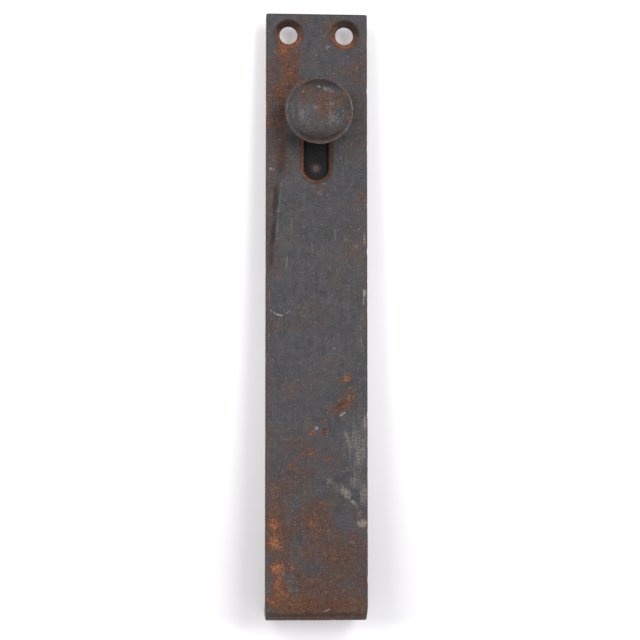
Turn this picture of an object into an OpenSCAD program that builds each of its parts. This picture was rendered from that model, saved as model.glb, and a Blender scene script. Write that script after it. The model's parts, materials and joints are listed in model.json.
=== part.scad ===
// Angle strap bolt for the edge of a door or cabinet leaf.
// A bent iron strap is let into the leaf, a flat bar slides behind it and out through
// the bent end, and a mushroom knob in a short slot throws the bar.
//
// +Z runs up the strap, X is across it and the front face looks towards -Y.
// The origin is the inside corner of the bend: y = 0 is the strap's back face, z = 0 is
// the upper face of the bent end, and x = 0 is the middle of the strap. The bar is drawn back.

/* [Strap] */
// Width of the strap
strap_w = 25.5; // [24:0.1:32]
// Overall length of the strap, bent end included
strap_l = 152; // [150:1:220]
// Thickness of the strap
strap_t = 2.4; // [2:0.1:3]
// Depth of the bent end, from the front face
flange_d = 19.05; // [18:0.05:25]
// Inside radius of the bend
bend_r = 0.6; // [0.4:0.1:1]
// How far each side of the bent end draws in towards its back edge
flange_taper = 0.65; // [0:0.05:1]

/* [Screw holes] */
// Radius of the countersunk screw holes
screw_r = 2.25; // [1.5:0.05:2.5]
// Radius of each countersink at the surface
sink_r = 3.8; // [3:0.1:4.2]
// Distance between the two screws of a pair
screw_gap = 14.1; // [13:0.1:16]
// Distance of the upper pair below the top end
screw_top = 5.25; // [4.5:0.05:10]
// Distance of the lower pair behind the strap's back face
screw_back = 11.2; // [10.5:0.1:13]

/* [Bolt] */
// Travel of the bolt
travel = 12.7; // [6:0.1:14]
// Width of the bar
bar_w = 9.5; // [9:0.1:10]
// Thickness of the bar
bar_t = 4.8; // [4:0.1:5]
// Height of the bar's upper end, drawn back
bar_top = 131; // [130:1:133]
// Bevel round the nose of the bar
nose_bevel = 0.8; // [0.3:0.1:1.5]

/* [Knob] */
// Height of the knob's axis, drawn back
knob_z = 123.4; // [123:0.1:124]
// Radius of the knob's head
head_r = 8.35; // [7:0.05:9]
// Height of the head's rim above the strap's front face
rim_h = 9; // [8.5:0.1:10]
// Rise of the domed face above the rim
dome_h = 2.9; // [2:0.1:4]
// Radius of the knob's neck, which runs in the slot
neck_r = 3; // [2.8:0.05:3.2]
// Width of the bevel round the slot
slot_bevel = 1.1; // [0.5:0.1:1.3]

/* [Guides] */
// Height of the middle of the lower guide
lower_guide_z = 38; // [30:1:45]
// Height of the middle of the upper guide
upper_guide_z = 88; // [86:1:89]
// Height of each guide along the bar
guide_h = 9; // [7:0.5:10]
// Thickness of the guides' sheet
guide_t = 1.5; // [1:0.1:1.8]
// Distance between the two rivets of a guide
guide_rivet_gap = 18; // [17.5:0.1:18.5]
// Radius of the guide rivets' shanks
guide_rivet_r = 1.25; // [1:0.05:1.4]

/* [Friction spring] */
// Thickness of the leaf
leaf_t = 0.5; // [0.4:0.1:0.6]
// Width of the leaf
leaf_w = 6.5; // [5:0.1:7]
// Height of the crown's back above the bar
crown_h = 1.3; // [1.1:0.1:1.5]
// Height of the rivet that holds the leaf
leaf_rivet_z = 110.7; // [110:0.1:111]
// Radius of that rivet's shank
leaf_rivet_r = 1.1; // [0.9:0.05:1.3]

/* [Hidden] */
$fn = 64;

over = 1;                // how far a cutter runs past the face it opens
run_gap = 0.05;          // sliding gap between flat faces
side_gap = 0.1;          // sliding gap at the bar's sides and back
neck_gap = 0.1;          // sliding gap each side of the neck in the slot

top_z = strap_l - strap_t;
flange_y = flange_d - strap_t;
screw_z = top_z - screw_top;

bar_y = run_gap;
bar_back = bar_y + bar_t;

slot_r = neck_r + neck_gap;
slot_high = knob_z + run_gap;
slot_low = knob_z - travel - run_gap;

washer_t = 0.8;
washer_r = 4.2;
tenon_r = 2.4;
peen_h = 0.9;
peen_r = 3.3;

rivet_sink_r = guide_rivet_r + 0.85;   // sunk head of a guide rivet, in the front face
rivet_dome_r = guide_rivet_r + 0.95;   // round head of a guide rivet, on the guide's foot
rivet_dome_h = 1.1;
leaf_rivet_flare = 0.5;                // how much wider the leaf rivet's front end is than its shank

leaf_foot_top = leaf_rivet_z + 3.4;
leaf_foot_end = leaf_rivet_z - 3.7;
crown_top = leaf_foot_end - 4;
crown_end = upper_guide_z - 8;
leaf_end = crown_end - 5;

iron = [0.34, 0.31, 0.30];
dark_iron = [0.17, 0.15, 0.15];
worn_iron = [0.36, 0.35, 0.35];
blue_steel = [0.25, 0.26, 0.30];

// A shape drawn in (y, z) and carried along X, centred on x = 0.
module across(width) {
    translate([-width / 2, 0, 0])
        rotate([90, 0, 90])
            linear_extrude(height = width)
                children();
}

// Turns a shape built along +Z so that it points out of the front face, towards -Y.
module facing_front(y, z) {
    translate([0, y, z])
        rotate([90, 0, 0])
            children();
}

// A domed cap of radius r and rise h, cut from a ball and standing on z = 0.
module round_cap(r, h) {
    ball_r = (r * r + h * h) / (2 * h);
    intersection() {
        translate([0, 0, h - ball_r])
            sphere(r = ball_r);
        cylinder(r = r, h = h + over);
    }
}

// Cutter for a countersunk screw hole. The mouth is at z = 0 and the hole runs down.
module sunk_hole() {
    translate([0, 0, -strap_t - over])
        cylinder(r = screw_r, h = strap_t + 2 * over);
    translate([0, 0, screw_r - sink_r])
        cylinder(r1 = screw_r, r2 = sink_r, h = sink_r - screw_r);
    cylinder(r = sink_r, h = over);
}

// Section of the strap: an upright leg, a quarter-round bend and a short foot.
module strap_section() {
    outer_r = bend_r + strap_t;
    translate([-strap_t, bend_r])
        square([strap_t, top_z - bend_r]);
    translate([bend_r, -strap_t])
        square([flange_y - bend_r, strap_t]);
    intersection() {
        translate([bend_r, bend_r])
            difference() {
                circle(r = outer_r);
                circle(r = bend_r);
            }
        translate([-strap_t, -strap_t])
            square(outer_r);
    }
}

// Cutter for the slot: a straight middle and two round ends, with a bevelled mouth.
module slot_cut() {
    length = slot_high - slot_low;
    facing_front(over, slot_low) {
        cylinder(r = slot_r, h = strap_t + 2 * over);
        translate([0, length, 0])
            cylinder(r = slot_r, h = strap_t + 2 * over);
        translate([-slot_r, 0, 0])
            cube([2 * slot_r, length, strap_t + 2 * over]);
    }
    facing_front(-strap_t + slot_bevel, slot_low) {
        for (end = [0, length])
            translate([0, end, 0])
                cylinder(r1 = slot_r, r2 = slot_r + slot_bevel, h = slot_bevel);
        rotate([90, 0, 180])
            linear_extrude(height = length)
                polygon([
                    [-slot_r, 0], [slot_r, 0],
                    [slot_r + slot_bevel, slot_bevel], [-slot_r - slot_bevel, slot_bevel]
                ]);
    }
}

// A guide rivet. The sunk head is flush with the strap's front and the round head is behind.
module guide_rivet(x, z) {
    translate([x, 0, z]) {
        facing_front(guide_t, 0)
            cylinder(r = guide_rivet_r, h = guide_t + strap_t);
        facing_front(-strap_t + rivet_sink_r - guide_rivet_r, 0)
            cylinder(r1 = guide_rivet_r, r2 = rivet_sink_r, h = rivet_sink_r - guide_rivet_r);
        translate([0, guide_t, 0])
            rotate([-90, 0, 0])
                round_cap(rivet_dome_r, rivet_dome_h);
    }
}

module guide_rivets(z) {
    for (side = [-1, 1])
        guide_rivet(side * guide_rivet_gap / 2, z);
}

// A guide: a strap bent over the back of the bar, with a foot on each side.
module guide(z, roof_y) {
    inner_x = bar_w / 2 + side_gap;
    outer_x = inner_x + guide_t;
    foot_x = strap_w / 2 - 0.8;
    translate([0, 0, z - guide_h / 2])
        linear_extrude(height = guide_h)
            difference() {
                union() {
                    translate([-foot_x, 0])
                        square([2 * foot_x, guide_t]);
                    translate([-outer_x, 0])
                        square([2 * outer_x, roof_y + guide_t]);
                }
                translate([-inner_x, -over])
                    square([2 * inner_x, roof_y + over]);
                for (side = [-1, 1])
                    translate([side * outer_x, roof_y + guide_t])
                        rotate(45)
                            square(1, center = true);
            }
}

// Holes for a pair of guide rivets, through the feet of the guide.
module guide_with_holes(z, roof_y) {
    difference() {
        guide(z, roof_y);
        for (side = [-1, 1])
            translate([side * guide_rivet_gap / 2, 0, 0])
                facing_front(guide_t + over, z)
                    cylinder(r = guide_rivet_r, h = guide_t + 2 * over);
    }
}

// Cutter for one side of the bent end, whose width tapers towards its back edge.
module flange_side_cut() {
    translate([strap_w / 2, 0, -strap_t - over])
        linear_extrude(height = strap_t + 2 * over)
            polygon([[0, bend_r], [over, bend_r], [over, flange_y + over], [-flange_taper, flange_y + over],
                     [-flange_taper, flange_y]]);
}

module face_plate() {
    color(iron)
        difference() {
            across(strap_w)
                strap_section();
            for (side = [-1, 1])
                translate([side * screw_gap / 2, 0, 0]) {
                    facing_front(-strap_t, screw_z)
                        sunk_hole();
                    translate([0, screw_back, -strap_t])
                        rotate([180, 0, 0])
                            sunk_hole();
                }
            slot_cut();
            for (side = [0, 1])
                mirror([side, 0, 0])
                    flange_side_cut();
            translate([-bar_w / 2 - side_gap, 0, -strap_t - over])
                cube([bar_w + 2 * side_gap, bar_back + side_gap, strap_t + over + bend_r + 0.2]);
            for (side = [-1, 1], z = [lower_guide_z, upper_guide_z])
                translate([side * guide_rivet_gap / 2, 0, 0]) {
                    facing_front(over, z)
                        cylinder(r = guide_rivet_r, h = strap_t + 2 * over);
                    facing_front(-strap_t + rivet_sink_r - guide_rivet_r, z)
                        cylinder(r1 = guide_rivet_r, r2 = rivet_sink_r, h = rivet_sink_r - guide_rivet_r);
                }
        }
}

module bolt_bar() {
    length = bar_top + strap_t;
    color(dark_iron)
        difference() {
            translate([-bar_w / 2, bar_y, -strap_t])
                cube([bar_w, bar_t, length]);
            for (side = [-1, 1])
                translate([side * bar_w / 2, bar_y + bar_t / 2, -strap_t])
                    rotate([0, 45, 0])
                        cube([nose_bevel * sqrt(2), bar_t + over, nose_bevel * sqrt(2)], center = true);
            for (y = [bar_y, bar_back])
                translate([0, y, -strap_t])
                    rotate([45, 0, 0])
                        cube([bar_w + over, nose_bevel * sqrt(2), nose_bevel * sqrt(2)], center = true);
            facing_front(bar_back + over, knob_z)
                cylinder(r = tenon_r, h = bar_t + 2 * over);
            facing_front(bar_back + over, leaf_rivet_z)
                cylinder(r = leaf_rivet_r, h = bar_t + 2 * over);
            facing_front(bar_y + leaf_rivet_flare, leaf_rivet_z)
                cylinder(r1 = leaf_rivet_r, r2 = leaf_rivet_r + leaf_rivet_flare, h = leaf_rivet_flare);
        }
}

// Half section of the knob, with its axis on the left and the strap's front face at 0.
module knob_section() {
    bead_r = 0.45;
    ball_r = (head_r * head_r + dome_h * dome_h) / (2 * dome_h);
    collar_r = slot_r + slot_bevel + 0.9;
    cove_r = head_r - bead_r - neck_r;
    under_h = rim_h - bead_r;
    difference() {
        union() {
            intersection() {
                translate([0, rim_h + dome_h - ball_r])
                    circle(r = ball_r);
                translate([0, rim_h])
                    square([head_r - bead_r, dome_h + over]);
            }
            translate([0, under_h])
                square([head_r - bead_r, bead_r]);
            intersection() {
                translate([head_r - bead_r, rim_h])
                    circle(r = bead_r);
                translate([0, under_h])
                    square([head_r + over, 2 * bead_r]);
            }
            translate([0, under_h - cove_r])
                square([head_r - bead_r, cove_r]);
            square([neck_r, under_h]);
            translate([0, 0.1])
                square([collar_r, 1.1]);
        }
        translate([head_r - bead_r, under_h - cove_r])
            circle(r = cove_r);
    }
}

module knob() {
    color(worn_iron) {
        facing_front(-strap_t, knob_z)
            rotate_extrude()
                knob_section();
        facing_front(bar_y, knob_z)
            cylinder(r = neck_r, h = strap_t + bar_y);
        facing_front(bar_back + washer_t, knob_z)
            cylinder(r = tenon_r, h = bar_t + washer_t);
        translate([0, bar_back + washer_t, knob_z])
            rotate([-90, 0, 0])
                round_cap(peen_r, peen_h);
    }
}

module knob_washer() {
    color(iron)
        facing_front(bar_back + washer_t, knob_z)
            difference() {
                cylinder(r = washer_r, h = washer_t);
                translate([0, 0, -over])
                    cylinder(r = tenon_r, h = washer_t + 2 * over);
            }
}

// Section of the leaf: a flat foot, a ramp, a long flat crown and a ramp back to the bar.
module leaf_section() {
    rise = crown_h - leaf_t;
    polygon([
        [0, leaf_foot_top], [0, leaf_foot_end], [rise, crown_top], [rise, crown_end], [0.05, leaf_end],
        [0.05 + leaf_t, leaf_end], [rise + leaf_t, crown_end],
        [rise + leaf_t, crown_top], [leaf_t, leaf_foot_end], [leaf_t, leaf_foot_top]
    ]);
}

module friction_spring() {
    color(blue_steel)
        difference() {
            translate([0, bar_back, 0])
                across(leaf_w)
                    leaf_section();
            facing_front(bar_back + leaf_t + over, leaf_rivet_z)
                cylinder(r = leaf_rivet_r, h = leaf_t + 2 * over);
        }
}

module spring_rivet() {
    shank = bar_t + leaf_t;
    color(worn_iron) {
        facing_front(bar_back + leaf_t, leaf_rivet_z)
            cylinder(r = leaf_rivet_r, h = shank);
        facing_front(bar_y + leaf_rivet_flare, leaf_rivet_z)
            cylinder(r1 = leaf_rivet_r, r2 = leaf_rivet_r + leaf_rivet_flare, h = leaf_rivet_flare);
        translate([0, bar_back + leaf_t, leaf_rivet_z])
            rotate([-90, 0, 0])
                round_cap(leaf_rivet_r + 0.8, 0.8);
    }
}

module upper_guide() {
    color(iron)
        guide_with_holes(upper_guide_z, bar_back + crown_h + run_gap);
}

module lower_guide() {
    color(iron)
        guide_with_holes(lower_guide_z, bar_back + side_gap);
}

module upper_guide_rivets() {
    color(worn_iron)
        guide_rivets(upper_guide_z);
}

module lower_guide_rivets() {
    color(worn_iron)
        guide_rivets(lower_guide_z);
}

face_plate();
bolt_bar();
knob();
knob_washer();
friction_spring();
spring_rivet();
upper_guide();
lower_guide();
upper_guide_rivets();
lower_guide_rivets();
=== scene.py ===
import json
import math

import bmesh
import bpy
import numpy as np
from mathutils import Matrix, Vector


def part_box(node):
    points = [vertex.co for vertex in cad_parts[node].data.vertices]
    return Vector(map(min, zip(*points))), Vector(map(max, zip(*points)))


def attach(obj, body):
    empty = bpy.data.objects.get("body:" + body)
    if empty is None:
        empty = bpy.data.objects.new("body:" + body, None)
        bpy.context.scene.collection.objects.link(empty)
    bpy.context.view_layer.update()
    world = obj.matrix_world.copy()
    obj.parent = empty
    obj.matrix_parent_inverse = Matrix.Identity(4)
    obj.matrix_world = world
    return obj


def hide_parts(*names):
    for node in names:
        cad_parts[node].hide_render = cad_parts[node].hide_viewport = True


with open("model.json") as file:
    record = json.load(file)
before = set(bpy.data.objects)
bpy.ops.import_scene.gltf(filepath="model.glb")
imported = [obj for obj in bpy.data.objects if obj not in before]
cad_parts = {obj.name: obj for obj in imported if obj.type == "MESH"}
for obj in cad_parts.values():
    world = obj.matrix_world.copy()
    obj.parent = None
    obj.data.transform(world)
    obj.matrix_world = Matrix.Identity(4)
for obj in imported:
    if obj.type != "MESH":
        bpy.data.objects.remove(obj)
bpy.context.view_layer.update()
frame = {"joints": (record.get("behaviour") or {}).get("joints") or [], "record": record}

scene = bpy.context.scene
MM = 0.001  # the meshes below are worked out in millimetres


# ---------------------------------------------------------------- the view
# The bolt stands upright in front of a white board that leans towards it. The board passes
# just behind the bent end at the bottom and the riveted end of the knob at the top.

camera_place = Vector((-34.48, -502.47, 36.09)) * MM
camera_aim = Vector((0.07025, 0.99494, 0.07180))
camera_lens = 113.3
floor_drop = 18.0      # how far the floor lies below the bent end, clear of the thrown bar
board_gap = 0.25       # between the board and what it passes
board_reach = 320.0    # length of the board up its slope
board_half = 190.0     # half its width
board_glow = 0.15      # painted glow: light the board gives out itself, standing in for light through it from behind
floor_half = 450.0     # half the side of the floor
floor_fade = (160, 420)  # it thins out between these distances from the middle


def quad_mesh(name, corners):
    """A flat four-cornered sheet, corners in millimetres."""
    mesh = bpy.data.meshes.new(name)
    mesh.from_pydata([tuple(c * MM for c in corner) for corner in corners], [], [(0, 1, 2, 3)])
    sheet = bpy.data.objects.new(name, mesh)
    scene.collection.objects.link(sheet)
    return sheet


def add_node(tree, kind, **settings):
    """Adds a node. Settings whose name is an input socket set that socket; others set the node."""
    made = tree.nodes.new("ShaderNode" + kind)
    for name, value in settings.items():
        socket = next((s for s in made.inputs if s.name == name.replace("_", " ")), None)
        if socket is None:
            setattr(made, name, value)
        elif isinstance(value, bpy.types.NodeSocket):
            tree.links.new(value, socket)
        else:
            socket.default_value = value
    return made


def maths(tree, operation, first, second=0.0, third=0.0, clamp=False):
    """One step of arithmetic on sockets or numbers. Returns the result's socket."""
    made = tree.nodes.new("ShaderNodeMath")
    made.operation, made.use_clamp = operation, clamp
    for socket, value in zip(made.inputs, (first, second, third)):
        if isinstance(value, bpy.types.NodeSocket):
            tree.links.new(value, socket)
        else:
            socket.default_value = value
    return made.outputs[0]


def s_curve(tree, value, start, stop, first, last):
    """Turns a distance into a level: first up to start millimetres, last from stop on."""
    return add_node(tree, "MapRange", interpolation_type="SMOOTHSTEP", Value=value, From_Min=start * MM,
                    From_Max=stop * MM, To_Min=first, To_Max=last).outputs[0]


def blank_material(name):
    """A new material and its node tree, which is empty."""
    made = bpy.data.materials.new(name)
    made.use_nodes = True
    made.node_tree.nodes.clear()
    return made, made.node_tree


def show_partly(tree, shader, cover):
    """Shows a shader as far as cover says, and leaves the rest clear."""
    mix = add_node(tree, "MixShader", Fac=cover)
    tree.links.new(add_node(tree, "BsdfTransparent").outputs[0], mix.inputs[1])
    tree.links.new(shader, mix.inputs[2])
    tree.links.new(mix.outputs[0], add_node(tree, "OutputMaterial").inputs["Surface"])


def board_paint():
    """White card, painted darker towards its foot as shade, and painted brighter again below the bend to
    lift the shadow there, with a faint glow that it gives out itself, painted light that softens the
    shadows. It shows only to a camera before its front, and is clear when seen edge on, where it would
    draw a line beside the bolt."""
    made, tree = blank_material("board_white")
    place = add_node(tree, "TexCoord").outputs["Object"]
    height = add_node(tree, "SeparateXYZ", Vector=place).outputs["Z"]
    # Painted shade darkens the board towards its foot; painted light brightens it again just below the
    # bend, lifting the shadow there.
    painted_shade_to_foot = s_curve(tree, height, -30, 80, 0.60, 0.80)
    painted_light_below_bend = s_curve(tree, height, -9, -2, 1.30, 1.0)
    level = maths(tree, "MULTIPLY", painted_shade_to_foot, painted_light_below_bend)
    tint = add_node(tree, "VectorMath", operation="SCALE", Vector=(0.995, 0.985, 1.01), Scale=level)
    paint = add_node(tree, "BsdfDiffuse", Color=tint.outputs[0])
    both = add_node(tree, "AddShader")
    tree.links.new(paint.outputs[0], both.inputs[0])
    # Painted glow: the board gives out light of its own, which lifts its shadows.
    tree.links.new(add_node(tree, "Emission", Strength=board_glow).outputs[0], both.inputs[1])
    made.cycles.emission_sampling = "NONE"
    front = maths(tree, "SUBTRACT", add_node(tree, "LightPath").outputs["Is Camera Ray"],
                  add_node(tree, "NewGeometry").outputs["Backfacing"], clamp=True)
    edge_on = maths(tree, "GREATER_THAN", add_node(tree, "LayerWeight").outputs["Facing"], 0.85)
    show_partly(tree, both.outputs[0], maths(tree, "SUBTRACT", front, edge_on, clamp=True))
    return made


def floor_paint():
    """Pale grey that thins out with distance, so that the floor melts into the white round it,
    and is clear from beneath."""
    made, tree = blank_material("floor_pale")
    paint = add_node(tree, "BsdfDiffuse", Color=(0.80, 0.80, 0.805, 1))
    place = add_node(tree, "TexCoord").outputs["Object"]
    distance = add_node(tree, "VectorMath", operation="LENGTH", Vector=place).outputs["Value"]
    cover = maths(tree, "SUBTRACT", s_curve(tree, distance, *floor_fade, 1.0, 0.0),
                  add_node(tree, "NewGeometry").outputs["Backfacing"], clamp=True)
    show_partly(tree, paint.outputs[0], cover)
    return made


def area_light(name, place, target, size, watts, colour):
    """A rectangular soft light, size in millimetres, turned to face its target."""
    lamp = bpy.data.lights.new(name, "AREA")
    lamp.shape = "RECTANGLE"
    lamp.size, lamp.size_y = size[0] * MM, size[1] * MM
    lamp.energy = watts
    lamp.color = colour
    holder = bpy.data.objects.new(name, lamp)
    holder.location = Vector(place) * MM
    holder.rotation_euler = (Vector(target) - Vector(place)).to_track_quat("-Z", "Y").to_euler()
    scene.collection.objects.link(holder)


camera = bpy.data.cameras.new("camera")
camera.lens = camera_lens
camera.sensor_width = 36.0
camera.clip_start = 0.01
camera_holder = bpy.data.objects.new("camera", camera)
camera_holder.location = camera_place
camera_holder.rotation_euler = camera_aim.to_track_quat("-Z", "Y").to_euler()
scene.collection.objects.link(camera_holder)
scene.camera = camera_holder

strap_low, strap_high = (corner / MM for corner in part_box("face_plate"))
knob_low, knob_high = (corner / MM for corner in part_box("knob"))
knob_z = (knob_low.z + knob_high.z) / 2
foot_y = strap_high.y + board_gap
slope = (strap_high.y - knob_high.y) / (knob_z - strap_low.z)
floor_z = strap_low.z - floor_drop
board_low_y = foot_y + floor_drop * slope
board_high_y = board_low_y - board_reach * slope
backdrop = quad_mesh("backdrop", [
    (-board_half, board_low_y, floor_z), (board_half, board_low_y, floor_z),
    (board_half, board_high_y, floor_z + board_reach), (-board_half, board_high_y, floor_z + board_reach),
])
backdrop.data.materials.append(board_paint())
floor = quad_mesh("floor", [
    (-floor_half, -floor_half, floor_z), (floor_half, -floor_half, floor_z),
    (floor_half, floor_half, floor_z), (-floor_half, floor_half, floor_z),
])
floor.data.materials.append(floor_paint())

sky_light = 0.60       # how brightly the sky lights the bolt; the sky itself shows as white
sky = bpy.data.worlds.new("studio")
sky.use_nodes = True
seen = add_node(sky.node_tree, "LightPath").outputs["Is Camera Ray"]
open_sky = sky.node_tree.nodes["Background"]
open_sky.inputs["Color"].default_value = (1.0, 1.0, 1.0, 1)
sky.node_tree.links.new(maths(sky.node_tree, "MAXIMUM", seen, sky_light), open_sky.inputs["Strength"])
scene.world = sky
scene.view_settings.view_transform = "Standard"

middle = (0, 0, 75)
area_light("left_box", (-285, -520, 260), middle, (180, 460), 1.45, (0.99, 0.985, 1.0))
area_light("right_box", (215, -550, 260), middle, (180, 460), 1.94, (0.99, 0.985, 1.0))
area_light("back_left_box", (-380, 420, 240), middle, (300, 300), 3.0, (0.99, 0.99, 1.0))
area_light("back_right_box", (420, 380, 200), middle, (300, 300), 2.4, (1.0, 0.99, 0.98))


# ---------------------------------------------------------------- strap
# The body of the bolt is a strip of rolled iron an inch wide. Its holes were punched and
# countersunk while it was flat, the slot was bevelled with a file, and the last 19 mm was
# bent back to lie under the leaf. A century of damp has rusted it in blooms and streaks.

strap_t = -strap_low.y
bend_r = 0.6
edge_r = 0.38
corner_reach = 0.78     # how much of that the strip's four corners keep, which rounds them
foot_taper = 0.65       # how far each side of the bent end draws in towards its back edge
mounts = {m["name"]: m for m in frame["record"]["mounts"]}
screw_x = mounts["face_screws"]["dims"]["spacing_x_mm"] / 2
screw_r = mounts["face_screws"]["dims"]["hole_r_mm"]
screw_z = mounts["face_screws"]["pos_m"][2] / MM
end_screw_y = mounts["end_screws"]["pos_m"][1] / MM
sink_r = 3.8
slot_r = 3.1
slot_bevel = 1.1
slot_high_z = knob_z + 0.05
travel = frame["joints"][0]["range_m"][1] / MM
slot_low_z = knob_z - travel - 0.05
bar_low, bar_high = (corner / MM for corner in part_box("bolt_bar"))
bar_gap = 0.1           # clearance round the bar
half_w = strap_high.x
leg = strap_high.z - bend_r
bend_length = (bend_r + strap_t) * math.pi / 2
foot_start = leg + bend_length
sheet_end = foot_start + strap_high.y - bend_r


def lattice_noise(points, cell, seed):
    """Value noise: random numbers on a cubic lattice of that cell size, blended between its
    corners with smoothstep weights. The result lies between 0 and 1."""
    side = 24
    values = np.random.RandomState(seed).rand(side, side, side)
    scaled = np.asarray(points, float) / cell + 100.5
    base = np.floor(scaled).astype(int)
    part = scaled - base
    part = part * part * (3 - 2 * part)
    total = 0.0
    for corner in range(8):
        step = np.array([corner & 1, corner >> 1 & 1, corner >> 2 & 1])
        weight = np.prod(np.where(step, part, 1 - part), axis=-1)
        index = (base + step) % side
        total = total + weight * values[index[..., 0], index[..., 1], index[..., 2]]
    return total


def rough_noise(points, cell, seed, octaves=3):
    """Octaves of lattice noise, each half the size and half the strength of the one before."""
    strengths = [0.5 ** k for k in range(octaves)]
    layers = [s * lattice_noise(points, cell * s, seed + k) for k, s in enumerate(strengths)]
    return sum(layers) / sum(strengths)


def smoothstep(low, high, value):
    """0 below low, 1 above high, and a cubic S-curve between."""
    t = np.clip((value - low) / (high - low), 0, 1)
    return t * t * (3 - 2 * t)


def lattice_faces(rows, columns, closed, keep=None):
    """Quads of a grid of points numbered row by row. Closed joins the last column to the first."""
    wide = columns if closed else columns - 1
    i, j = np.meshgrid(np.arange(rows - 1), np.arange(wide), indexing="ij")
    across = (j + 1) % columns
    quads = np.stack([i * columns + j, i * columns + across,
                      (i + 1) * columns + across, (i + 1) * columns + j], axis=-1)
    return quads.reshape(-1, 4) if keep is None else quads[keep]


def weld(patches):
    """Joins patches of (points, quads) into one mesh. Points in the same place become one."""
    points = np.concatenate([p.reshape(-1, 3) for p, _ in patches])
    starts = np.cumsum([0] + [p.size // 3 for p, _ in patches[:-1]])
    quads = np.concatenate([q + s for (_, q), s in zip(patches, starts)])
    keys = np.round(points * 2000).astype(np.int64)
    _, first, inverse = np.unique(keys, axis=0, return_index=True, return_inverse=True)
    return points[first], inverse.reshape(-1)[quads]


def new_piece(name, points, quads, body, slot, *stands_for):
    """Makes a closed mesh object from points in millimetres, with its faces turned outwards."""
    corners = [tuple(dict.fromkeys(quad)) for quad in quads.tolist()]
    mesh = bpy.data.meshes.new(name)
    mesh.from_pydata((points * MM).tolist(), [], [c for c in corners if len(c) > 2])
    shell = bmesh.new()
    shell.from_mesh(mesh)
    bmesh.ops.recalc_face_normals(shell, faces=shell.faces)
    shell.to_mesh(mesh)
    shell.free()
    mesh.polygons.foreach_set("use_smooth", [True] * len(mesh.polygons))
    piece = bpy.data.objects.new(name, mesh)
    scene.collection.objects.link(piece)
    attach(piece, body)
    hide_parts(*stands_for)
    return piece


def paint(piece, **masks):
    """Stores one number for each point of the mesh under each name, for the material to read."""
    for name, values in masks.items():
        layer = piece.data.attributes.new(name, "FLOAT", "POINT")
        layer.data.foreach_set("value", np.asarray(values, np.float32))


def bend_sheet(sheet):
    """Bends the flat punched strip (across, along, depth) into its place. Along runs down
    from the top end, round a quarter circle about the bend's axis, then back along the foot;
    depth runs in from the front face, which becomes the underside of the foot."""
    across, along, depth = sheet[..., 0], sheet[..., 1], sheet[..., 2]
    turn = np.clip((along - leg) / bend_length, 0, 1) * math.pi / 2
    radius = bend_r + strap_t - depth
    down = np.clip(along, None, leg)
    back = np.clip(along - foot_start, 0, None)
    y = bend_r - radius * np.cos(turn) + back
    z = bend_r - radius * np.sin(turn) + leg - down
    return np.stack([across, y, z], axis=-1)


def hole_outline(points, core_low, core_high, radius):
    """The point of a hole's outline nearest to each given point: a core box, which is a point
    for a round hole and a line for a slot, grown outwards by the radius."""
    core = np.clip(points, core_low, core_high)
    away = points - core
    length = np.linalg.norm(away, axis=-1, keepdims=True)
    return core + away / length * np.reshape(radius, (-1, 1))


def block_walk(xs, ss, block):
    """Grid points round a rectangular block, once round, starting at its first corner."""
    a, b, c, d = block
    return np.array(
        [(xs[i], ss[c]) for i in range(a, b)] + [(xs[b], ss[j]) for j in range(c, d)]
        + [(xs[i], ss[d]) for i in range(b, a, -1)] + [(xs[a], ss[j]) for j in range(d, c, -1)]
    )


def punch(walk, rings, seed):
    """A tube of points from the block's edge on the front, in to the hole's mouth, through the
    hole and out to the block's edge on the back. Rings are (depth, radius, low, high)."""
    shares = np.linspace(0, 1, 8)[:-1] ** 0.8
    wobble = 0.09 * (rough_noise(np.c_[walk, walk[:, :1] * 0], 1.3, seed) - 0.5)
    outlines = [
        np.c_[hole_outline(walk, low, high, radius + wobble * fade), np.full(len(walk), depth)]
        for (depth, radius, low, high), fade in zip(rings, np.linspace(1, 0.3, len(rings)))
    ]
    front = np.c_[walk, np.zeros(len(walk))]
    back = np.c_[walk, np.full(len(walk), strap_t)]
    return np.stack([front + (outlines[0] - front) * share for share in shares] + outlines
                    + [back + (outlines[-1] - back) * share for share in shares[::-1]])


def bevelled(core_low, core_high, inner, mouth):
    """Rings of a hole with a straight-sided bevel from its mouth, both edges slightly eased."""
    deep = mouth - inner
    steps = [(0, mouth + 0.22), (0.03, mouth + 0.06), (0.12, mouth - 0.07)]
    steps += [(deep * k / 4, mouth - deep * k / 4) for k in (1, 2, 3)]
    steps += [(deep - 0.03, inner + 0.05), (deep + 0.1, inner), (strap_t - 0.25, inner)]
    steps += [(strap_t - 0.06, inner + 0.04), (strap_t, inner + 0.16)]
    return [(depth, radius, core_low, core_high) for depth, radius in steps]


def along_of(z):
    """Distance down the flat strip of a height on the upright leg."""
    return strap_high.z - z


def bar_hole_rings():
    """The oblong hole for the bar. Its front side is cut straight down flush with the strap's
    back face, so on the flat strip it slants through the bend."""
    corner = 0.35
    half = bar_high.x + bar_gap - corner
    far = foot_start + bar_high.y + bar_gap - bend_r - corner
    rings = []
    for depth in np.linspace(0, strap_t, 7):
        turn = math.acos(bend_r / (bend_r + strap_t - depth)) if depth < strap_t else 0.0
        near = leg + turn / (math.pi / 2) * bend_length + corner
        rings.append((depth, corner, (-half, near), (half, far)))
    lip, shoulder = (0, corner + 0.15, *rings[0][2:]), (0.12, corner, *rings[0][2:])
    return [lip, shoulder] + rings[1:]


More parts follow.
